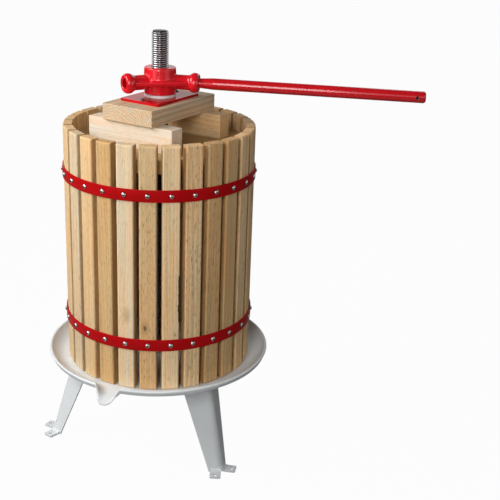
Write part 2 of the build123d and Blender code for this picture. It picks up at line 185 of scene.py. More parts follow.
def startGroup(name, inputs, outputs):
    tree = bpy.data.node_groups.new(name, "ShaderNodeTree")
    for label, (kind, value) in inputs.items():
        socket = tree.interface.new_socket(label, in_out="INPUT", socket_type=f"NodeSocket{kind}")
        if value is not None:
            socket.default_value = value
    for label, kind in outputs.items():
        tree.interface.new_socket(label, in_out="OUTPUT", socket_type=f"NodeSocket{kind}")
    return tree, tree.nodes.new("NodeGroupInput").outputs, tree.nodes.new("NodeGroupOutput").inputs


def useGroup(tree, group, inputs):
    node = tree.nodes.new("ShaderNodeGroup")
    node.node_tree = group
    for key, value in inputs.items():
        plug(tree, node.inputs[key], value)
    return node.outputs


def startMaterial(name):
    material = bpy.data.materials.new(name)
    material.use_nodes = True
    tree = material.node_tree
    tree.nodes.clear()
    shader = tree.nodes.new("ShaderNodeBsdfPrincipled")
    output = tree.nodes.new("ShaderNodeOutputMaterial")
    tree.links.new(shader.outputs[0], output.inputs["Surface"])
    place = tree.nodes.new("ShaderNodeTexCoord").outputs["Object"]
    return material, tree, shader, place


def bumpInto(tree, shader, height, depth):
    bump = addNode(tree, "ShaderNodeBump", {"Height": height, "Distance": depth, "Strength": 1.0})
    tree.links.new(bump.outputs["Normal"], shader.inputs["Normal"])


def meshOf(shape, name="worked"):
    mesh = bpy.data.meshes.new(name)
    shape.to_mesh(mesh)
    shape.free()
    return mesh


def plainObject(name, shape):
    thing = bpy.data.objects.new(name, meshOf(shape, name))
    scene.collection.objects.link(thing)
    return thing


# 1 where the camera looks at the surround, and where a gloss shows the backdrop
def whiteSeen(tree, heights):
    path = tree.nodes.new("ShaderNodeLightPath").outputs
    place = tree.nodes.new("ShaderNodeTexCoord").outputs["Object"]
    height = partsOf(tree, place)[2]
    mirrored = mathOf(tree, "MULTIPLY", path["Is Glossy Ray"], rangeOf(tree, height, *heights))
    return mathOf(tree, "MAXIMUM", path["Is Camera Ray"], mirrored)


def makeSurround(plan):
    world = bpy.data.worlds.new("dimRoom")
    scene.world = world
    world.use_nodes = True
    tree = world.node_tree
    tree.nodes.clear()
    room = addNode(tree, "ShaderNodeBackground", {"Color": (1, 1, 1, 1), "Strength": plan["ambient"]})
    output = tree.nodes.new("ShaderNodeOutputWorld")
    tree.links.new(room.outputs[0], output.inputs["Surface"])

    material = bpy.data.materials.new("paleSurround")
    material.use_nodes = True
    tree = material.node_tree
    tree.nodes.clear()
    matte = addNode(tree, "ShaderNodeBsdfDiffuse", {"Color": plan["floorColour"]})
    glow = addNode(tree, "ShaderNodeEmission", {"Color": (1, 1, 1, 1), "Strength": 1.0})
    share = mathOf(tree, "MULTIPLY", whiteSeen(tree, plan["mirroredFrom"]), plan["surroundGlow"])
    mixed = addNode(tree, "ShaderNodeMixShader", {0: share, 1: matte.outputs[0], 2: glow.outputs[0]})
    output = tree.nodes.new("ShaderNodeOutputMaterial")
    tree.links.new(mixed.outputs[0], output.inputs["Surface"])

    sheet = bmesh.new()  # a round floor with its edge drawn up into a low backdrop
    level = Matrix.Translation((0, 0, plan["floorLevel"]))
    bmesh.ops.create_circle(
        sheet, cap_ends=True, segments=plan["surroundSides"], radius=plan["surroundReach"], matrix=level
    )
    rim = [edge for edge in sheet.edges if edge.is_boundary]
    raised = bmesh.ops.extrude_edge_only(sheet, edges=rim)["geom"]
    edge = [part for part in raised if isinstance(part, bmesh.types.BMVert)]
    bmesh.ops.translate(sheet, verts=edge, vec=(0, 0, plan["backdropHeight"]))
    surround = plainObject("studioSurround", sheet)
    surround.data.materials.append(material)


makeSurround(studio)
print("camera, lamps and floor placed")


# wood grain: growth rings round a pith line, fibre streaks, pores, one knot and bark left on an edge, and
# painted shade on a stave's sides
woodLook = {
    "knotShape": (0.4, 1.0, 0.5),
    "knotStain": (3.2, 0.7),  # ranges round a knot are in knot sizes
    "knotCore": (1.0, 0.4),
    "knotBend": (4.5, 0.4, 0.0, 0.006),  # fibres part round the knot
    # each noise: how far it is squeezed along the grain, scale, detail and roughness
    "swayNoise": (0.12, 22.0, 2.0, 0.5),
    "unevenNoise": (0.02, 90.0, 1.0, 0.5),
    "streakNoise": (0.022, 210.0, 3.0, 0.6),
    "fibreNoise": (0.03, 1500.0, 2.0, 0.6),
    "poreNoise": (0.12, 900.0, 1.0, 0.4),
    "cloudNoise": (0.30, 26.0, 2.0, 0.5),
    "fleckNoise": (0.30, 430.0, 2.0, 0.6),
    "tintNoise": (0.07, 75.0, 2.0, 0.5),
    "barkNoise": (0.40, 230.0, 3.0, 0.65),
    "streakRange": (0.32, 0.70),
    "poreRange": (0.58, 0.72),
    "tintRange": (0.34, 0.66),
    "barkRange": (0.0, 0.0003),
    # where the painted shade on a stave's side faces starts
    "sideShadeRange": (0.0006, 0.0),
    "uneven": 1.6,
    "ringEnds": 0.05,
    "ringStops": ((0.35, 0.12), (0.70, 0.55), (0.88, 1.0)),  # place in the ring and darkness
    "streakShare": 0.24,  # shares of the darkening
    "fibreShare": 0.18,
    "fleckShare": 0.50,
    "cloudShare": 0.45,
    "poreShare": 0.62,
    "stainShare": 0.55,
    "tints": ((1.06, 0.96, 0.87, 1), (0.97, 1.02, 1.06, 1)),  # redder to greener streaks
    "poreColour": (0.10, 0.050, 0.018, 1),
    "coreColour": (0.075, 0.034, 0.014, 1),
    # the colour of the painted shade on a stave's side faces
    "sideShadeColour": (0.74, 0.69, 0.60, 1),
    "barkColour": (0.055, 0.028, 0.013, 1),
    "roughness": (0.46, 0.24, 0.15),  # the least, and what fibres and pores add
    "relief": (0.45, -0.90, -0.35),  # fibres stand up, pores and rings are sunk
}


def makeWoodGroup(look):
    tree, given, out = startGroup(
        "woodFibre",
        {
            "Vector": ("Vector", None),  # x through the board, y across it, z along the grain
            "Seed": ("Float", 0.0),
            "Pale": ("Color", (0.6, 0.4, 0.2, 1)),
            "Dark": ("Color", (0.3, 0.2, 0.1, 1)),
            "Ring Width": ("Float", 0.003),
            "Pith": ("Vector", (-0.05, 0, 0)),
            "Pith Lean": ("Float", 0.01),
            "Ring Strength": ("Float", 0.5),
            "Pore Strength": ("Float", 0.5),
            "Sway": ("Float", 0.011),
            "Knot": ("Vector", (0, 0, 9)),
            "Knot Size": ("Float", 0.003),
            "Knot Core": ("Float", 0.7),
            "Half Width": ("Float", 1.0),
            "Wane": ("Vector", (0, 0, 0)),  # bark left on one edge: lower end, upper end and reach
        },
        {"Color": "Color", "Roughness": "Float", "Height": "Float"},
    )
    _, across, along = partsOf(tree, given["Vector"])
    shift = joinOf(tree, given["Seed"], given["Seed"], given["Seed"])

    def grain(name):  # a noise drawn out along the board, with the board's own shift
        squeeze, *values = look[f"{name}Noise"]
        squeezed = vectorOf(tree, "MULTIPLY", given["Vector"], (1.0, 1.0, squeeze))
        return noiseOf(tree, vectorOf(tree, "ADD", squeezed, shift), *values).outputs

    knotGap = vectorOf(tree, "SUBTRACT", given["Vector"], given["Knot"])
    knotGap = vectorOf(tree, "MULTIPLY", knotGap, look["knotShape"])
    knotDistance = mathOf(tree, "DIVIDE", vectorOf(tree, "LENGTH", knotGap), given["Knot Size"])
    knotStain = rangeOf(tree, knotDistance, *look["knotStain"])
    knotCore = mathOf(tree, "MULTIPLY", rangeOf(tree, knotDistance, *look["knotCore"]), given["Knot Core"])
    bend = rangeOf(tree, knotDistance, *look["knotBend"])

    sway = vectorOf(tree, "SUBTRACT", grain("sway")["Color"], (0.5, 0.5, 0.5))
    sway = vectorOf(tree, "MULTIPLY", sway, joinOf(tree, given["Sway"], given["Sway"]))
    lean = joinOf(tree, mathOf(tree, "MULTIPLY", along, given["Pith Lean"]))
    ringPlace = vectorOf(tree, "SUBTRACT", given["Vector"], given["Pith"])
    ringPlace = vectorOf(tree, "ADD", vectorOf(tree, "ADD", ringPlace, sway), lean)
    ringPlace = vectorOf(tree, "MULTIPLY", ringPlace, (1.0, 1.0, 0.0))
    radius = mathOf(tree, "ADD", vectorOf(tree, "LENGTH", ringPlace), bend)
    count = mathOf(tree, "DIVIDE", radius, given["Ring Width"])
    uneven = mathOf(tree, "MULTIPLY", grain("uneven")["Fac"], look["uneven"])
    phase = mathOf(tree, "FRACT", mathOf(tree, "ADD", count, uneven))
    ramp = tree.nodes.new("ShaderNodeValToRGB")
    for stop in ramp.color_ramp.elements:
        stop.color = (look["ringEnds"], look["ringEnds"], look["ringEnds"], 1)
    for spot, shade in look["ringStops"]:
        stop = ramp.color_ramp.elements.new(spot)
        stop.color = (shade, shade, shade, 1)
    tree.links.new(phase, ramp.inputs[0])
    rings = mathOf(tree, "MULTIPLY", ramp.outputs[0], given["Ring Strength"])

    streaks = rangeOf(tree, grain("streak")["Fac"], *look["streakRange"])
    fibre = grain("fibre")["Fac"]
    pores = rangeOf(tree, grain("pore")["Fac"], *look["poreRange"])
    pores = mathOf(tree, "MULTIPLY", pores, given["Pore Strength"])
    tint = mixColour(tree, rangeOf(tree, grain("tint")["Fac"], *look["tintRange"]), *look["tints"])

    shade = mathOf(tree, "MULTIPLY_ADD", streaks, look["streakShare"], rings)
    darkening = {"fibre": fibre, "fleck": grain("fleck")["Fac"], "cloud": grain("cloud")["Fac"]}
    for name, noise in darkening.items():
        middled = mathOf(tree, "SUBTRACT", noise, 0.5)
        shade = mathOf(tree, "MULTIPLY_ADD", middled, look[f"{name}Share"], shade)
    colour = mixColour(tree, mathOf(tree, "ADD", shade, 0.0, clamp=True), given["Pale"], given["Dark"])
    colour = mixColour(tree, 1.0, colour, tint, "MULTIPLY")
    colour = mixColour(tree, mathOf(tree, "MULTIPLY", pores, look["poreShare"]), colour, look["poreColour"])
    colour = mixColour(tree, mathOf(tree, "MULTIPLY", knotStain, look["stainShare"]), colour, given["Dark"])
    colour = mixColour(tree, knotCore, colour, look["coreColour"])
    # painted shade darkens both side faces of a stave
    edge = mathOf(tree, "SUBTRACT", given["Half Width"], mathOf(tree, "ABSOLUTE", across))
    colour = mixColour(tree, rangeOf(tree, edge, *look["sideShadeRange"]), colour, look["sideShadeColour"], "MULTIPLY")

    barkLow, barkHigh, barkReach = partsOf(tree, given["Wane"])
    beyond = mathOf(tree, "SUBTRACT", across, given["Half Width"])
    barkEdge = mathOf(tree, "MULTIPLY_ADD", grain("bark")["Fac"], barkReach, beyond)
    bark = rangeOf(tree, barkEdge, *look["barkRange"])
    bark = mathOf(tree, "MULTIPLY", bark, mathOf(tree, "GREATER_THAN", along, barkLow))
    bark = mathOf(tree, "MULTIPLY", bark, mathOf(tree, "LESS_THAN", along, barkHigh))
    tree.links.new(mixColour(tree, bark, colour, look["barkColour"]), out["Color"])

    least, fibreRough, poreRough = look["roughness"]
    rough = mathOf(tree, "MULTIPLY_ADD", fibre, fibreRough, least)
    tree.links.new(mathOf(tree, "MULTIPLY_ADD", pores, poreRough, rough), out["Roughness"])
    fibreRise, poreRise, ringRise = look["relief"]
    height = mathOf(tree, "MULTIPLY", fibre, fibreRise)
    height = mathOf(tree, "MULTIPLY_ADD", pores, poreRise, height)
    tree.links.new(mathOf(tree, "MULTIPLY_ADD", rings, ringRise, height), out["Height"])
    return tree


woodFibre = makeWoodGroup(woodLook)


# metal and paint skin: slow tone drift, fine speckle and a waviness for the bump
skinLook = {
    "drift": (3.0, 0.6),  # detail and roughness of each noise
    "speckle": (2.0, 0.7),
    "wave": (2.0, 0.45),
    "driftRange": (0.3, 0.7),
    "roughShare": 0.5,  # speckle and drift take half each
    "speckleRise": 0.15,
}


def makeSkinGroup(look):
    tree, given, out = startGroup(
        "metalSkin",
        {
            "Vector": ("Vector", None),
            "Light Tone": ("Color", (0.8, 0.8, 0.8, 1)),
            "Deep Tone": ("Color", (0.6, 0.6, 0.6, 1)),
            "Drift Scale": ("Float", 20.0),
            "Speckle Scale": ("Float", 600.0),
            "Speckle": ("Float", 0.2),
            "Roughness Low": ("Float", 0.2),
            "Roughness High": ("Float", 0.4),
            "Wave Scale": ("Float", 250.0),
        },
        {"Color": "Color", "Roughness": "Float", "Height": "Float"},
    )
    drift = noiseOf(tree, given["Vector"], given["Drift Scale"], *look["drift"]).outputs["Fac"]
    drift = rangeOf(tree, drift, *look["driftRange"])
    speckle = noiseOf(tree, given["Vector"], given["Speckle Scale"], *look["speckle"]).outputs["Fac"]
    specks = mathOf(tree, "MULTIPLY", mathOf(tree, "SUBTRACT", speckle, 0.5), given["Speckle"])
    share = mathOf(tree, "ADD", drift, specks, clamp=True)
    tree.links.new(mixColour(tree, share, given["Light Tone"], given["Deep Tone"]), out["Color"])
    span = mathOf(tree, "SUBTRACT", given["Roughness High"], given["Roughness Low"])
    blend = mathOf(tree, "MULTIPLY", mathOf(tree, "ADD", speckle, drift), look["roughShare"])
    tree.links.new(mathOf(tree, "MULTIPLY_ADD", blend, span, given["Roughness Low"]), out["Roughness"])
    wave = noiseOf(tree, given["Vector"], given["Wave Scale"], *look["wave"]).outputs["Fac"]
    tree.links.new(mathOf(tree, "MULTIPLY_ADD", speckle, look["speckleRise"], wave), out["Height"])
    return tree


metalSkin = makeSkinGroup(skinLook)


def woodMaterial(name, turn, centre, board):
    material, tree, shader, place = startMaterial(name)
    mapped = addNode(
        tree,
        "ShaderNodeMapping",
        {"Vector": place, "Rotation": turn, "Location": centre},
        vector_type="POINT",
    ).outputs[0]
    wood = useGroup(tree, woodFibre, {"Vector": mapped, **board["grain"]})
    tree.links.new(wood["Color"], shader.inputs["Base Color"])
    tree.links.new(wood["Roughness"], shader.inputs["Roughness"])
    shader.inputs["Specular IOR Level"].default_value = board["gloss"]
    bumpInto(tree, shader, wood["Height"], board["bump"])
    return material


def startSkin(name, finish):
    material, tree, shader, place = startMaterial(name)
    skin = useGroup(tree, metalSkin, {"Vector": place, **finish["skin"]})
    tree.links.new(skin["Color"], shader.inputs["Base Color"])
    tree.links.new(skin["Roughness"], shader.inputs["Roughness"])
    for socket, value in finish.get("shader", {}).items():
        shader.inputs[socket].default_value = value
    bumpInto(tree, shader, skin["Height"], finish["bump"])
    return material, tree, shader, place, skin["Color"]


def skinMaterial(name, finish):
    return startSkin(name, finish)[0]


def dress(name, material):
    piece = nodes[name]
    if not piece.material_slots:
        piece.data.materials.append(material)
    for slot in piece.material_slots:
        slot.material = material


# staves: every board has its own cut from the log, so each gets its own values
staveWood = {
    "count": 27,
    "firstAngle": -84.0,
    "middle": (0.1375, 0.3336),  # radius and height of a stave's middle
    "pale": (0.80, 0.555, 0.300),
    "dark": (0.46, 0.270, 0.110),
    "halfWidth": 0.01275,
    "gloss": 0.20,
    "bump": 0.00014,
    "seed": 7,
    # ranges that values are drawn from
    "levels": (0.84, 1.06),
    "warmths": (-0.14, 0.12),
    "shifts": (0, 60),
    "ringWidths": (0.0022, 0.0046),
    "pithDepths": (-0.075, -0.012),
    "pithSides": (0.0, 0.06),
    "leans": (-0.035, 0.035),
    "ringStrengths": (0.22, 0.48),
    "poreStrengths": (0.30, 0.60),
    # stave number: brightness and warmth, for the ones that differ plainly; on the staves at the right, away
    # from the key lamp (3, 4, 7, 8), part of the raised brightness is painted light
    "tones": {
        25: (0.93, -0.38), 26: (0.98, 0.00), 27: (0.87, 0.19), 1: (1.04, -0.40), 2: (0.94, 0.07),
        3: (1.15, -0.11), 4: (1.10, -0.07), 5: (0.85, 0.13), 7: (1.20, -0.10), 8: (1.15, -0.05),
    },
    "pores": {1: 0.30, 2: 0.85, 3: 0.40, 4: 0.85, 5: 0.75, 26: 0.35, 27: 0.60},
    # stave number: a knot's height above the middle, place across the face, size and darkness of its core
    "knots": {
        1: (-0.069, 0.0015, 0.0030, 0.05),
        2: (-0.087, -0.0040, 0.0030, 0.75),
        3: (-0.0975, 0.0065, 0.0011, 0.60),
        8: (0.090, 0.0040, 0.0034, 0.70),
        14: (0.050, 0.0, 0.0040, 0.80),
    },
    "knotDepth": 0.006,
    "noKnot": (9.0, 0.0, 0.003, 0.0),  # far above the board
    # stave number: bark's lower end, upper end and reach
    "wanes": {3: (-0.078, -0.004, 0.0042)},
}


def shaded(colour, level, warmth, greenShare=0.35):  # warmth takes out blue, and a share of it green
    red, green, blue = (part * level for part in colour)
    return (red, green * (1 - greenShare * warmth), blue * (1 - warmth), 1.0)


def dressStaves(wood):
    draw = random.Random(wood["seed"])
    radius, height = wood["middle"]
    for number in range(1, wood["count"] + 1):
        angle = math.radians(wood["firstAngle"] + (number - 1) * 360.0 / wood["count"])
        drawnTone = (draw.uniform(*wood["levels"]), draw.uniform(*wood["warmths"]))
        level, warmth = wood["tones"].get(number, drawnTone)
        knotUp, knotSide, knotSize, knotCore = wood["knots"].get(number, wood["noKnot"])
        grain = {
            "Seed": draw.uniform(*wood["shifts"]),
            "Pale": shaded(wood["pale"], level, warmth),
            "Dark": shaded(wood["dark"], level, warmth),
            "Ring Width": draw.uniform(*wood["ringWidths"]),
            "Pith": (
                draw.uniform(*wood["pithDepths"]),
                draw.choice((-1, 1)) * draw.uniform(*wood["pithSides"]),
                0.0,
            ),
            "Pith Lean": draw.uniform(*wood["leans"]),
            "Ring Strength": draw.uniform(*wood["ringStrengths"]),
            "Pore Strength": wood["pores"].get(number, draw.uniform(*wood["poreStrengths"])),
            "Knot": (wood["knotDepth"], knotSide, knotUp),
            "Knot Size": knotSize,
            "Knot Core": knotCore,
            "Half Width": wood["halfWidth"],
            "Wane": wood["wanes"].get(number, (0.0, 0.0, 0.0)),
        }
        board = {"grain": grain, "gloss": wood["gloss"], "bump": wood["bump"]}
        material = woodMaterial(f"staveWood{number:02d}", (0, 0, -angle), (-radius, 0, -height), board)
        dress(f"stave_{number:02d}", material)


dressStaves(staveWood)

# blocks and boards: grain runs along each one's length
blockWood = {
    "stackAngle": 79.5,
    "gloss": 0.20,
    "bump": 0.00020,
    "pale": (0.80, 0.645, 0.455),
    "dark": (0.52, 0.355, 0.195),
    "boards": {
        # node: grain runs across the stack, level, warmth, seed, pith,
        # ring width, ring strength, lean, pores, sway
        "top_block": (False, 0.89, 0.00, 4.0, (-0.046, 0.030, 0.0), 0.0040, 0.75, 0.012, 0.25, 0.004),
        "lower_block_front": (True, 1.03, -0.26, 11.0, (0.02, 0.060, 0.0), 0.0022, 0.20, 0.02, 0.15, 0.006),
        "lower_block_rear": (True, 0.93, 0.30, 23.0, (-0.03, -0.045, 0.0), 0.0034, 0.35, 0.02, 0.35, 0.011),
        # the press boards' low level and warm tone are painted shade, for boards lying in shade inside the
        # basket
        "press_board_left": (True, 0.66, 0.46, 31.0, (-0.06, 0.020, 0.0), 0.0038, 0.45, 0.03, 0.45, 0.011),
        "press_board_right": (True, 0.63, 0.48, 43.0, (-0.07, -0.015, 0.0), 0.0036, 0.45, -0.03, 0.45, 0.011),
    },
}


def dressBlocks(wood):
    turn = math.radians(wood["stackAngle"])
    along = Vector((math.cos(turn), math.sin(turn), 0))
    across = Vector((-along.y, along.x, 0))
    up = Vector((0, 0, 1))
    for name, values in wood["boards"].items():
        crosswise, level, warmth, seed, pith, width, strength, lean, pores, sway = values
        low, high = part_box(name)
        middle = (low + high) / 2
        length = across if crosswise else along
        side = length.cross(up)
        turned = Matrix((up, side, -length))  # rows: through, across, along the grain
        if turned.determinant() < 0:
            turned = Matrix((up, -side, -length))
        grain = {
            "Seed": seed,
            "Pale": shaded(wood["pale"], level, warmth),
            "Dark": shaded(wood["dark"], level, warmth),
            "Ring Width": width,
            "Pith": pith,
            "Pith Lean": lean,
            "Ring Strength": strength,
            "Pore Strength": pores,
            "Sway": sway,
        }
        board = {"grain": grain, "gloss": wood["gloss"], "bump": wood["bump"]}
        dress(name, woodMaterial(f"{name}Wood", turned.to_euler(), -(turned @ middle), board))


dressBlocks(blockWood)
print("wood dressed")

flatPaint = {
    "skin": {
        "Light Tone": (0.45, 0.004, 0.006, 1),
        "Deep Tone": (0.39, 0.003, 0.004, 1),
        "Drift Scale": 30.0,
        "Speckle Scale": 900.0,
        "Speckle": 0.25,
        "Roughness Low": 0.26,
        "Roughness High": 0.38,
        "Wave Scale": 260.0,
    },
    "shader": {"Specular IOR Level": 0.08},
    "bump": 0.00010,
}
glossPaint = {
    "skin": {
        **flatPaint["skin"],
        "Light Tone": (0.62, 0.006, 0.013, 1),
        "Deep Tone": (0.55, 0.005, 0.011, 1),
        "Roughness Low": 0.165,
        "Roughness High": 0.175,
    },
    "shader": {"Specular IOR Level": 0.62},
    "bump": 0.0000012,
}
platePaint = {
    "skin": {
        **flatPaint["skin"],
        "Light Tone": (0.54, 0.006, 0.011, 1),
        "Roughness Low": 0.10,
        "Roughness High": 0.15,
    },
    "shader": {"Specular IOR Level": 0.10},
    "bump": 0.00002,
}
castPaint = {
    "skin": {
        **flatPaint["skin"],
        "Light Tone": (0.78, 0.009, 0.020, 1),
        "Deep Tone": (0.66, 0.007, 0.015, 1),
        "Wave Scale": 330.0,
        "Roughness Low": 0.13,
        "Roughness High": 0.21,
    },
    "shader": {"Specular IOR Level": 0.44},
    "bump": 0.00018,
}
paleEnamel = {
    "skin": {
        "Light Tone": (0.75, 0.775, 0.785, 1),
        "Deep Tone": (0.69, 0.715, 0.730, 1),
        "Drift Scale": 9.0,
        "Speckle Scale": 1100.0,
        "Speckle": 0.30,
        "Roughness Low": 0.28,
        "Roughness High": 0.42,
        "Wave Scale": 180.0,
    },
    "shader": {"Specular IOR Level": 0.40},
    "bump": 0.00010,
}
zincPlate = {
    "skin": {
        "Light Tone": (0.62, 0.61, 0.59, 1),
        "Deep Tone": (0.44, 0.435, 0.42, 1),
        "Drift Scale": 160.0,
        "Speckle Scale": 1600.0,
        "Speckle": 0.5,
        "Roughness Low": 0.26,
        "Roughness High": 0.40,
        "Wave Scale": 700.0,
    },
    "shader": {"Metallic": 1.0},
    "bump": 0.00005,
    # painted shade for the screws' cross recess
    "recess": (0.090, 0.086, 0.080, 1),
}
threadSteel = {
    "skin": {
        "Light Tone": (0.41, 0.41, 0.415, 1),
        "Deep Tone": (0.33, 0.33, 0.335, 1),
        "Drift Scale": 60.0,
        "Speckle Scale": 900.0,
        "Speckle": 0.25,
        "Roughness Low": 0.20,
        "Roughness High": 0.32,
        "Wave Scale": 800.0,
    },
    "shader": {"Metallic": 1.0},
    "bump": 0.00003,
    "root": (0.0110, 0.0120, (0.040, 0.040, 0.042, 1)),  # reach where the painted shade at the thread's bottom ends, and its colour
    "brightAbove": (0.48, 0.57),  # painted shade covers the whole thread below these heights, inside the basket
}
whiteNylon = {
    "skin": {
        "Light Tone": (0.80, 0.79, 0.77, 1),
        "Deep Tone": (0.72, 0.71, 0.69, 1),
        "Drift Scale": 60.0,
        "Speckle Scale": 1400.0,
        "Speckle": 0.3,
        "Roughness Low": 0.45,
        "Roughness High": 0.60,
        "Wave Scale": 500.0,
    },
    "shader": {"Specular IOR Level": 0.30},
    "bump": 0.00005,
}
leverSockets = {"angles": (13.4, -126.6), "height": 0.5849}  # the first holds the lever
# holes: direction, shift of their middle, which way round they are measured, and the painted shade put inside
leverHole = {
    "angle": leverSockets["angles"][0],
    "shift": (-0.379, 0, -leverSockets["height"]),
    "across": (1, 0, 1),
    "radius": 0.0025,
    "start": -1.0,
    # painted shade inside the hanging hole
    "inside": (0.010, 0.002, 0.002, 1),
    "shadeSides": 16,
    "shadeDepth": 0.004,
}
openSocket = {
    "angle": leverSockets["angles"][1],
    "shift": (0, 0, -leverSockets["height"]),
    "across": (0, 1, 1),
    "radius": 0.0074,
    "start": 0.0175,
    # painted shade inside the open socket
    "inside": (0.46, 0.004, 0.008, 1),
}
holeFade = {"edge": (1.02, 1.01), "length": 0.001}  # shares of the radius, and metres along the hole


# painted shade: the inside of a hole takes a darker colour
def holedMaterial(name, finish, hole, fade):
    material, tree, shader, place, painted = startSkin(name, finish)
    turned = addNode(
        tree,
        "ShaderNodeMapping",
        {"Vector": place, "Rotation": (0, 0, -math.radians(hole["angle"])), "Location": hole["shift"]},
    ).outputs[0]
    gap = vectorOf(tree, "LENGTH", vectorOf(tree, "MULTIPLY", turned, hole["across"]))
    along = partsOf(tree, turned)[0]
    inside = rangeOf(tree, gap, *(hole["radius"] * share for share in fade["edge"]))
    started = rangeOf(tree, along, hole["start"], hole["start"] + fade["length"])
    inside = mathOf(tree, "MULTIPLY", inside, started)
    tree.links.new(mixColour(tree, inside, painted, hole["inside"]), shader.inputs["Base Color"])
    return material


def threadMaterial(finish):  # painted shade darkens the bottom of the thread, and all of it lower down
    material, tree, shader, place, bright = startSkin("threadSteel", finish)
    start, end, dark = finish["root"]
    reach = vectorOf(tree, "LENGTH", vectorOf(tree, "MULTIPLY", place, (1, 1, 0)))
    height = partsOf(tree, place)[2]
    # painted shade: dark in the thread's bottom and low down, bright only on the crests higher up
    brightAbove = mathOf(tree, "MULTIPLY", rangeOf(tree, reach, start, end), rangeOf(tree, height, *finish["brightAbove"]))
    tree.links.new(mixColour(tree, brightAbove, dark, bright), shader.inputs["Base Color"])
    return material


def screwMaterial(finish):  # the recess is told apart by the screw's own attribute and painted with shade
    material, tree, shader, _, bright = startSkin("screwZinc", finish)
    recess = addNode(tree, "ShaderNodeAttribute", attribute_name="recess").outputs["Fac"]
    tree.links.new(mixColour(tree, recess, bright, finish["recess"]), shader.inputs["Base Color"])
    return material


finishes = {
    "flatPaint": skinMaterial("flatPaint", flatPaint),
    "platePaint": skinMaterial("platePaint", platePaint),
    "castPaint": holedMaterial("castPaint", castPaint, openSocket, holeFade),
    "leverPaint": holedMaterial("leverPaint", glossPaint, leverHole, holeFade),
    "paleEnamel": skinMaterial("paleEnamel", paleEnamel),
    "zincPlate": skinMaterial("zincPlate", zincPlate),
    "threadSteel": threadMaterial(threadSteel),
    "screwZinc": screwMaterial(zincPlate),
    "whiteNylon": skinMaterial("whiteNylon", whiteNylon),
}
nodeFinishes = {
    "flatPaint": ("lower_band", "upper_band"),
    "platePaint": ("pressure_plate",),
    "leverPaint": ("lever",),
    "castPaint": ("press_nut",),
    "paleEnamel": ("tray", "leg_right", "leg_rear", "leg_left"),
    "zincPlate": (
        "lower_band_screws", "upper_band_screws", "plate_screws", "leg_bolts", "leg_nuts",
        "support_disc", "spindle_washer_lower", "spindle_washer_upper",
        "spindle_nut_lower", "spindle_nut_upper",
    ),
    "whiteNylon": ("thrust_washer",),
    "threadSteel": ("spindle",),
}
for finish, names in nodeFinishes.items():
    for name in names:
        dress(name, finishes[finish])
print("metal dressed")


weldGap = 1e-6  # metres, points this close are one


def takeMesh(thing, *tools):  # the shape with its modifiers worked in, its helpers cleared away
    graph = bpy.context.evaluated_depsgraph_get()
    mesh = bpy.data.meshes.new_from_object(thing.evaluated_get(graph))
    for used in (thing, *tools):
        bpy.data.objects.remove(used)
    return mesh


def cutAway(thing, cutter):
    cut = thing.modifiers.new("cutAway", "BOOLEAN")
    cut.operation = "DIFFERENCE"
    cut.solver = "EXACT"
    cut.use_self = True
    cut.object = cutter


def spunShape(corners, steps, closed=False):  # corners are (reach, height) pairs
    shape = bmesh.new()
    line = [shape.verts.new((reach, 0, height)) for reach, height in corners]
    pairs = list(zip(line, line[1:])) + ([(line[-1], line[0])] if closed else [])
    edges = [shape.edges.new(pair) for pair in pairs]
    bmesh.ops.spin(shape, geom=line + edges, axis=(0, 0, 1), angle=2 * math.pi, steps=steps, use_merge=True)
    bmesh.ops.remove_doubles(shape, verts=shape.verts, dist=weldGap)
    bmesh.ops.recalc_face_normals(shape, faces=shape.faces)
    return shape


def finishPiece(name, mesh, material, body, slot, *replaced, sharp=35.0):
    mesh.name = name
    mesh.polygons.foreach_set("use_smooth", [True] * len(mesh.polygons))
    mesh.set_sharp_from_angle(angle=math.radians(sharp))
    mesh.materials.clear()
    mesh.materials.append(material)
    piece = bpy.data.objects.new(name, mesh)
    scene.collection.objects.link(piece)
    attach(piece, body)
    if replaced:
        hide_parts(*replaced)
    return piece


# tray: floor, hollow wall, rolled rim and lip spun as one sheet, its front drawn down into the spout
trayDish = {
    "sheet": 0.0018,
    "depth": 0.0133,
    "wallAngle": 58.0,
    "roll": 0.0023,
    "lip": (0.0065, 0.0028),  # height of the turned-down edge and how far it leans in
    "rimGap": 0.00002,  # inside the machined rim
    "steps": 480,
    "floorShares": (0.5, 0.93),  # where the floor has rings of points
    "wallSteps": 12,
    "rollSteps": 10,
    "lipShares": (0.35, 0.7, 1.0),
    "spindleHole": 0.0131,
    "boltHoles": (0.115, 0.013, 0.0043),  # reach, spread either side and radius
    "drill": (24, 0.02),  # sides and length
    "legAngles": (-30.0, 90.0, 210.0),
    "spout": {
        "drop": 0.0085,
        "slope": (0.30, 0.70),  # shares that fall straight and ever steeper
        "tip": 0.1908,  # reach of its lip
        "mouth": 0.0205,  # half its width at the wall
        "round": 2.8,  # the higher, the flatter its bottom
        "flank": 1.3,  # the higher, the softer its sides
        "pinch": 0.10,  # share it narrows by
    },
}


def trayLine(dish, rim):
    turn = math.radians(dish["wallAngle"])
    roll = dish["roll"]
    wall = dish["depth"] / (1 - math.cos(turn)) - roll
    floorEnd = rim - roll - (wall + roll) * math.sin(turn)
    line = [(dish["spindleHole"], 0.0)]
    line += [(floorEnd * share, 0.0) for share in dish["floorShares"]]
    line.append((floorEnd, 0.0))
    for step in range(1, dish["wallSteps"] + 1):
        part = turn * step / dish["wallSteps"]
        line.append((floorEnd + wall * math.sin(part), wall * (1 - math.cos(part))))
    middle = (line[-1][0] + roll * math.sin(turn), line[-1][1] - roll * math.cos(turn))
    for step in range(1, dish["rollSteps"] + 1):
        part = (turn + math.pi / 2) * (1 - step / dish["rollSteps"])
        line.append((middle[0] + roll * math.cos(part), middle[1] + roll * math.sin(part)))
    fall, lean = dish["lip"]
    for share in dish["lipShares"]:
        line.append((rim - lean * share, middle[1] - fall * share))
    return line, floorEnd


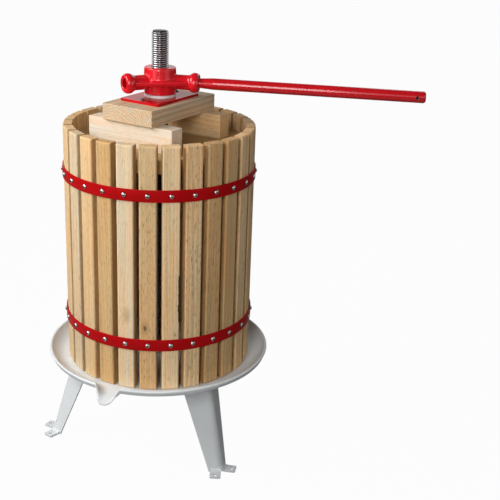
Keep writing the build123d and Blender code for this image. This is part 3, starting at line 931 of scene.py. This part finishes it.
def drawSpout(shape, line, floorEnd, spout):
    wall = line[line.index((floorEnd, 0.0)):]
    gone = [0.0]
    for near, far in zip(wall, wall[1:]):
        gone.append(gone[-1] + math.dist(near, far))
    straight, steeper = spout["slope"]
    for vert in shape.verts:
        reach = math.hypot(vert.co.x, vert.co.y)
        pull = max(1 - (abs(vert.co.x) / spout["mouth"]) ** spout["round"], 0.0) ** spout["flank"]
        if vert.co.y > 0 or pull == 0 or reach < floorEnd + weldGap:
            continue
        step = min(range(len(gone)), key=lambda number: math.dist(wall[number], (reach, vert.co.z)))
        share = gone[step] / gone[-1]
        forward = floorEnd + share * (spout["tip"] - floorEnd)
        fall = -spout["drop"] * (straight * share + steeper * share**2)
        vert.co.y += (-forward - vert.co.y) * pull
        vert.co.z += (fall - vert.co.z) * pull
        vert.co.x *= 1 - spout["pinch"] * pull * share


def makeTray(dish, material):
    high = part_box("tray")[1]
    floorLevel = high.z - dish["depth"]
    line, floorEnd = trayLine(dish, high.x - dish["rimGap"])
    shape = spunShape(line, dish["steps"])
    drawSpout(shape, line, floorEnd, dish["spout"])
    up = next(face for face in shape.faces if face.calc_center_median().xy.length < floorEnd)
    if up.normal.z < 0:
        bmesh.ops.reverse_faces(shape, faces=shape.faces)
    bmesh.ops.translate(shape, verts=shape.verts, vec=(0, 0, floorLevel))
    sheet = plainObject("traySheet", shape)
    wall = sheet.modifiers.new("thickness", "SOLIDIFY")
    wall.thickness = dish["sheet"]
    wall.offset = -1.0
    wall.use_even_offset = True
    reach, spread, radius = dish["boltHoles"]
    sides, length = dish["drill"]
    drills = bmesh.new()
    for angle in dish["legAngles"]:
        turn = Matrix.Rotation(math.radians(angle), 4, "Z")
        for side in (-1, 1):
            spot = turn @ Matrix.Translation((reach, side * spread, floorLevel))
            bmesh.ops.create_cone(
                drills, cap_ends=True, segments=sides, radius1=radius, radius2=radius, depth=length,
                matrix=spot,
            )
    drill = plainObject("boltDrills", drills)
    cutAway(sheet, drill)
    mesh = takeMesh(sheet, drill)
    return finishPiece("trayDish", mesh, material, "frame", "tray_enamel", "tray", sharp=50.0)


makeTray(trayDish, finishes["paleEnamel"])
print("tray pressed")

# bands: flat hoops with their edges broken
bandHoop = {"thickness": 0.0020, "edge": 0.0006, "edgeSteps": 3, "cornerAngle": 1.0, "steps": 216}


def makeBands(hoop, material):
    for level in ("lower", "upper"):
        low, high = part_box(f"{level}_band")
        inner = high.x - hoop["thickness"]
        shape = spunShape(
            ((inner, low.z), (high.x, low.z), (high.x, high.z), (inner, high.z)), hoop["steps"], closed=True
        )
        corners = [edge for edge in shape.edges if edge.calc_face_angle(0.0) > hoop["cornerAngle"]]
        bmesh.ops.bevel(
            shape, geom=corners, offset=hoop["edge"], offset_type="OFFSET", segments=hoop["edgeSteps"],
            profile=0.5, affect="EDGES", material=-1,
        )
        finishPiece(f"{level}Band", meshOf(shape), material, "basket", "red_paint", f"{level}_band")


makeBands(bandHoop, finishes["flatPaint"])
print("bands rolled")

# cast nut: the machined shape goes through a fine grid and is rubbed down, as a casting's corners are
castNut = {
    "grid": 0.0008,
    "passes": 3,
    "rub": 0.5,
    "footHeight": 0.0012,  # its foot stays flat on the washer
    "boreReach": 0.0143,  # the threaded hole keeps its size
    "socketReach": 0.0082,  # so do the lever's sockets
    "socketStart": 0.022,
}


def inSocket(place, cast, sockets):
    for angle in sockets["angles"]:
        turn = math.radians(angle)
        along = place.x * math.cos(turn) + place.y * math.sin(turn)
        across = place.y * math.cos(turn) - place.x * math.sin(turn)
        gap = math.hypot(across, place.z - sockets["height"])
        if along > cast["socketStart"] and gap < cast["socketReach"]:
            return True
    return False


def makeNut(cast, sockets, material):
    shape = bmesh.new()
    shape.from_mesh(nodes["press_nut"].data)
    bmesh.ops.remove_doubles(shape, verts=shape.verts, dist=weldGap)
    blank = plainObject("nutBlank", shape)
    grid = blank.modifiers.new("grid", "REMESH")
    grid.mode = "VOXEL"
    grid.voxel_size = cast["grid"]
    mesh = takeMesh(blank)
    shape = bmesh.new()
    shape.from_mesh(mesh)
    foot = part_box("press_nut")[0].z + cast["footHeight"]
    rubbed = [
        vert for vert in shape.verts
        if vert.co.xy.length > cast["boreReach"] and vert.co.z > foot and not inSocket(vert.co, cast, sockets)
    ]
    for _ in range(cast["passes"]):
        bmesh.ops.smooth_vert(
            shape, verts=rubbed, factor=cast["rub"], use_axis_x=True, use_axis_y=True, use_axis_z=True
        )
    return finishPiece("castNut", meshOf(shape), material, "press_nut", "red_paint", "press_nut", sharp=60.0)


makeNut(castNut, leverSockets, finishes["castPaint"])
print("nut cast")


# spindle with its thread cut
spindleThread = {
    "pitch": 0.003175,
    "depth": 0.0019,
    "rootFlat": 0.0005,
    "crestFlat": 0.0011,
    "stepsPerTurn": 28,
    "tipChamfer": 0.0020,
    "weldGap": 1e-5,  # turns are joined where their points lie this close
}


def makeSpindle(cut, material):
    low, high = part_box("spindle")
    crest = (high.x - low.x) / 2
    root = crest - cut["depth"]
    flank = (cut["pitch"] - cut["rootFlat"] - cut["crestFlat"]) / 2
    corners = (
        (root, 0.0),
        (root, cut["rootFlat"]),
        (crest, cut["rootFlat"] + flank),
        (crest, cut["rootFlat"] + flank + cut["crestFlat"]),
        (root, cut["pitch"]),
    )
    turn = bmesh.new()
    line = [turn.verts.new((reach, 0, low.z - cut["pitch"] + rise)) for reach, rise in corners]
    edges = [turn.edges.new(pair) for pair in zip(line, line[1:])]
    steps = cut["stepsPerTurn"]
    bmesh.ops.spin(
        turn, geom=line + edges, axis=(0, 0, 1), dvec=(0, 0, cut["pitch"] / steps),
        angle=2 * math.pi, steps=steps,
    )
    oneTurn = meshOf(turn)
    shape = bmesh.new()
    for _ in range(math.ceil((high.z - low.z) / cut["pitch"]) + 2):
        shape.from_mesh(oneTurn)
        oneTurn.transform(Matrix.Translation((0, 0, cut["pitch"])))
    bpy.data.meshes.remove(oneTurn)
    bmesh.ops.remove_doubles(shape, verts=shape.verts, dist=cut["weldGap"])
    for level, side in ((low.z, -1), (high.z, 1)):
        parts = shape.verts[:] + shape.edges[:] + shape.faces[:]
        bmesh.ops.bisect_plane(
            shape, geom=parts, plane_co=(0, 0, level), plane_no=(0, 0, side), clear_outer=True
        )
        chamferStart = level - side * cut["tipChamfer"]
        parts = shape.verts[:] + shape.edges[:] + shape.faces[:]
        bmesh.ops.bisect_plane(shape, geom=parts, plane_co=(0, 0, chamferStart), plane_no=(0, 0, side))
        rim = [
            edge for edge in shape.edges
            if edge.is_boundary and abs(edge.verts[0].co.z - level) < cut["weldGap"]
        ]
        bmesh.ops.contextual_create(shape, geom=rim)
        for vert in shape.verts:
            past = (vert.co.z - chamferStart) * side
            reach = math.hypot(vert.co.x, vert.co.y)
            if past > 0 and reach > crest - past:
                vert.co.xy *= (crest - past) / reach
    bmesh.ops.recalc_face_normals(shape, faces=shape.faces)
    mesh = meshOf(shape)
    return finishPiece("threadedSpindle", mesh, material, "frame", "spindle_steel", "spindle", sharp=80.0)


makeSpindle(spindleThread, finishes["threadSteel"])
print("spindle cut")


# a disc of painted shade sits in the lever's hanging hole, so that it shows dark as the inside of a tube
# would
def makeHoleShade(hole, material):
    reach, _, height = (-part for part in hole["shift"])
    spot = Matrix.Rotation(math.radians(hole["angle"]), 4, "Z") @ Matrix.Translation((reach, 0, height))
    shape = bmesh.new()
    bmesh.ops.create_cone(
        shape, cap_ends=True, segments=hole["shadeSides"], radius1=hole["radius"], radius2=hole["radius"],
        depth=hole["shadeDepth"], matrix=spot @ Matrix.Rotation(math.pi / 2, 4, "X"),
    )
    return finishPiece("leverHoleShade", meshOf(shape), material, "lever", "red_paint")


makeHoleShade(leverHole, finishes["leverPaint"])
print("lever hole shaded")


# domed screws with a cross recess, one shape used for all
screwHeads = {
    "dome": 5,  # points over the dome
    "sides": 20,
    "recessLength": 0.56,  # share of the head's diameter
    "recessWidth": 0.15,
    "recessDepth": 0.62,  # share of the head's height
    "recessEdge": 0.00012,  # a face this far under the dome belongs to the recess
    "seed": 19,
    # head diameter, head height, shank diameter, length under the head
    "band": (0.0075, 0.0026, 0.0034, 0.0110),
    "plate": (0.0085, 0.0026, 0.0045, 0.0180),
    "plateTurns": (0.5, 1.2),
}


def screwMesh(heads, sizes):
    diameter, height, shank, length = sizes
    dome = (height**2 + (diameter / 2) ** 2) / (2 * height)
    spread = math.asin(diameter / 2 / dome)
    corners = [(0, -length), (shank / 2, -length), (shank / 2, 0), (diameter / 2, 0)]
    for step in range(1, heads["dome"] + 1):
        part = spread * (1 - step / heads["dome"])
        corners.append((dome * math.sin(part), height - dome * (1 - math.cos(part))))
    screw = plainObject("screwBlank", spunShape(corners, heads["sides"]))
    cross = bmesh.new()
    reach, width = diameter * heads["recessLength"], diameter * heads["recessWidth"]
    for turn in (0, 90):
        size = Matrix.Diagonal((reach, width, height * 2, 1))
        up = Matrix.Translation((0, 0, height * (2 - heads["recessDepth"])))
        bmesh.ops.create_cube(cross, size=1, matrix=Matrix.Rotation(math.radians(turn), 4, "Z") @ up @ size)
    cutter = plainObject("recessCutter", cross)
    cutAway(screw, cutter)
    mesh = takeMesh(screw, cutter)
    recess = mesh.attributes.new("recess", "FLOAT", "FACE")
    for face, mark in zip(mesh.polygons, recess.data):
        reach = face.center.xy.length
        skin = height - dome + math.sqrt(max(dome**2 - reach**2, 0.0))
        mark.value = 1.0 if 0.0 < face.center.z < skin - heads["recessEdge"] else 0.0
    return mesh


def setScrews(name, shape, places, material, body, *replaced):
    joined = bmesh.new()
    for place in places:
        copy = shape.copy()
        copy.transform(place)
        joined.from_mesh(copy)
        bpy.data.meshes.remove(copy)
    return finishPiece(name, meshOf(joined), material, body, "zinc_steel", *replaced)


def makeScrews(heads, material):
    draw = random.Random(heads["seed"])
    bandShape = screwMesh(heads, heads["band"])
    for level in ("lower", "upper"):
        low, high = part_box(f"{level}_band")
        reach, height = high.x, (low.z + high.z) / 2
        places = []
        for number in range(staveWood["count"]):
            angle = math.radians(staveWood["firstAngle"] + number * 360.0 / staveWood["count"])
            turn = Matrix.Rotation(draw.uniform(0, math.pi / 2), 4, "Z")
            outwards = Matrix.Rotation(angle, 4, "Z") @ Matrix.Translation((reach, 0, height))
            places.append(outwards @ Matrix.Rotation(math.pi / 2, 4, "Y") @ turn)
        setScrews(f"{level}BandScrews", bandShape, places, material, "basket", f"{level}_band_screws")
    plateShape = screwMesh(heads, heads["plate"])
    low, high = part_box("plate_screws")
    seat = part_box("pressure_plate")[1].z
    inset = heads["plate"][0] / 2
    spots = ((low.x + inset, low.y + inset, seat), (high.x - inset, high.y - inset, seat))
    places = [
        Matrix.Translation(spot) @ Matrix.Rotation(turn, 4, "Z")
        for spot, turn in zip(spots, heads["plateTurns"])
    ]
    setScrews("plateScrews", plateShape, places, material, "pressing_stack", "plate_screws")


makeScrews(screwHeads, finishes["screwZinc"])
print("screws set")

print("press finished")
